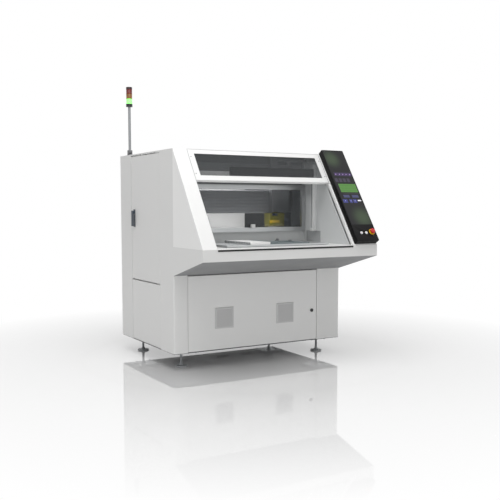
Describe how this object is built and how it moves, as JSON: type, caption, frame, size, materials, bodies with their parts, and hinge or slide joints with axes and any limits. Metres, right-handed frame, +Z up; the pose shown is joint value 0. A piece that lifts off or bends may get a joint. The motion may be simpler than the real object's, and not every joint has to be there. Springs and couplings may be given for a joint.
{
  "type": "pcb depaneling machine",
  "caption": "Stand-alone router for separating printed circuit boards: sheet-metal cabinet on levelling feet with open loading bay, shuttle table, sliding sash, side doors and control panel.",
  "frame": {"origin": "on the floor, midway between the two sides and midway between the foot of the control panel and the end of the extraction spigot", "axes": "+X to the operator's right, +Y to the rear, +Z up; the loading bay faces -Y"},
  "size_m": [1.4466, 1.5024, 2.036],
  "materials": {
    "cabinet_paint": "powder coat, fine texture",
    "hood_paint": "powder coat, fine texture",
    "door_paint": "powder coat, fine texture",
    "frame_paint": "powder coat",
    "plated_steel": "zinc plated",
    "cast_bed": "painted casting",
    "machined_aluminium": "clear anodised",
    "dark_aluminium": "black anodised",
    "bellows": "folded, ribbed",
    "black_plastic": "moulded",
    "screen_glass": "polished",
    "pane": "tinted, clear",
    "latch_metal": "die cast, blue-grey coat",
    "rubber_black": "extruded",
    "white_plastic": "moulded",
    "red_plastic": "moulded",
    "yellow_plastic": "moulded",
    "green_lens": "translucent",
    "amber_lens": "translucent",
    "red_lens": "translucent",
    "olive_plastic": "moulded"
  },
  "bodies": {
    "cabinet": {"base_frame": "frame_paint", "base_plate": "plated_steel", "foot_brackets": "plated_steel", "levelling_feet": "plated_steel", "foot_locknuts": "plated_steel", "left_side_panel": "cabinet_paint", "right_side_panel": "cabinet_paint", "rear_panel": "cabinet_paint", "exhaust_spigot": "plated_steel", "ledge": "cabinet_paint", "ledge_edge_strip": "rubber_black", "left_cheek": "hood_paint", "right_cheek": "hood_paint", "roof_panel": "hood_paint", "window_frame": "hood_paint", "window_pane": "pane", "window_screws": "plated_steel", "bay_floor": "cabinet_paint", "bay_side_walls": "cabinet_paint", "light_curtain_posts": "machined_aluminium", "machine_light": "dark_aluminium", "process_wall": "cabinet_paint", "sash_guides": "machined_aluminium", "machine_bed": "cast_bed", "table_rails": "plated_steel", "gantry_columns": "cast_bed", "gantry_beam": "cast_bed", "beam_cover": "bellows", "extraction_housing": "white_plastic", "switchgear": "plated_steel", "panel_housing": "black_plastic", "panel_screen": "screen_glass", "estop_collar": "yellow_plastic", "tower_foot": "black_plastic", "hinge_pins": "plated_steel", "lower_side_covers": "cabinet_paint"},
    "front_door": {"front_door": "door_paint", "door_vents": "white_plastic"},
    "front_lock": {"front_lock": "latch_metal"},
    "left_door": {"left_upper_door": "cabinet_paint", "left_handle_plate": "latch_metal"},
    "left_handle": {"left_handle": "latch_metal"},
    "right_door": {"right_upper_door": "cabinet_paint", "right_handle_plate": "latch_metal"},
    "right_handle": {"right_handle": "latch_metal"},
    "sash": {"sash_frame": "machined_aluminium", "sash_pane": "pane", "sash_knob": "white_plastic"},
    "shutter": {"table_shutter": "machined_aluminium"},
    "table": {"shuttle_table": "machined_aluminium", "board_nest": "dark_aluminium"},
    "carriage": {"spindle_carriage": "dark_aluminium"},
    "spindle": {"spindle_head": "olive_plastic"},
    "start_button": {"start_button": "white_plastic"},
    "stop_button": {"stop_button": "white_plastic"},
    "estop_button": {"estop_button": "red_plastic"},
    "tower": {"tower_pole": "black_plastic", "green_lamp": "green_lens", "amber_lamp": "amber_lens", "red_lamp": "red_lens"}
  },
  "joints": [
    {"name": "front_door_hinge", "type": "hinge", "parent": "cabinet", "child": "front_door", "pos_m": [-0.562, -0.26776, 0.3865], "axis": [0, 0, -1], "range_deg": [0, 110]},
    {"name": "front_lock_turn", "type": "hinge", "parent": "front_door", "child": "front_lock", "pos_m": [0.443, -0.27876, 0.345], "axis": [0, 1, 0], "range_deg": [0, 90]},
    {"name": "left_door_hinge", "type": "hinge", "parent": "cabinet", "child": "left_door", "pos_m": [-0.689, -0.02576, 1.04], "axis": [0, 0, 1], "range_deg": [0, 110]},
    {"name": "left_handle_turn", "type": "hinge", "parent": "left_door", "child": "left_handle", "pos_m": [-0.7, 0.41024, 1.0835], "axis": [-1, 0, 0], "range_deg": [0, 90]},
    {"name": "right_door_hinge", "type": "hinge", "parent": "cabinet", "child": "right_door", "pos_m": [0.689, -0.02576, 1.04], "axis": [0, 0, -1], "range_deg": [0, 110]},
    {"name": "right_handle_turn", "type": "hinge", "parent": "right_door", "child": "right_handle", "pos_m": [0.7, 0.41024, 1.0835], "axis": [-1, 0, 0], "range_deg": [0, 90]},
    {"name": "sash_slide", "type": "slide", "parent": "cabinet", "child": "sash", "axis": [0, 0, 1], "range_m": [0, 0.19]},
    {"name": "table_slide", "type": "slide", "parent": "cabinet", "child": "table", "axis": [0, 1, 0], "range_m": [0, 0.48]},
    {"name": "shutter_slide", "type": "slide", "parent": "cabinet", "child": "shutter", "axis": [0, 0, 1], "range_m": [0, 0.1056]},
    {"name": "carriage_slide", "type": "slide", "parent": "cabinet", "child": "carriage", "axis": [1, 0, 0], "range_m": [-0.7, 0.03]},
    {"name": "spindle_slide", "type": "slide", "parent": "carriage", "child": "spindle", "axis": [0, 0, -1], "range_m": [0, 0.055]},
    {"name": "start_press", "type": "slide", "parent": "cabinet", "child": "start_button", "axis": [0, 0.8307, -0.5567], "range_m": [0, 0.003], "stiffness_N_per_m": 400, "springref_m": -0.002},
    {"name": "stop_press", "type": "slide", "parent": "cabinet", "child": "stop_button", "axis": [0, 0.8307, -0.5567], "range_m": [0, 0.003], "stiffness_N_per_m": 400, "springref_m": -0.002},
    {"name": "estop_press", "type": "slide", "parent": "cabinet", "child": "estop_button", "axis": [0, 0.8307, -0.5567], "range_m": [0, 0.005]},
    {"name": "tower_fold", "type": "hinge", "parent": "cabinet", "child": "tower", "pos_m": [-0.66, 0.59124, 1.546], "axis": [1, 0, 0], "range_deg": [0, 90]}
  ],
  "couplings": [
    {"joint": "shutter_slide", "follows": "table_slide", "ratio": 0.22}
  ]
}
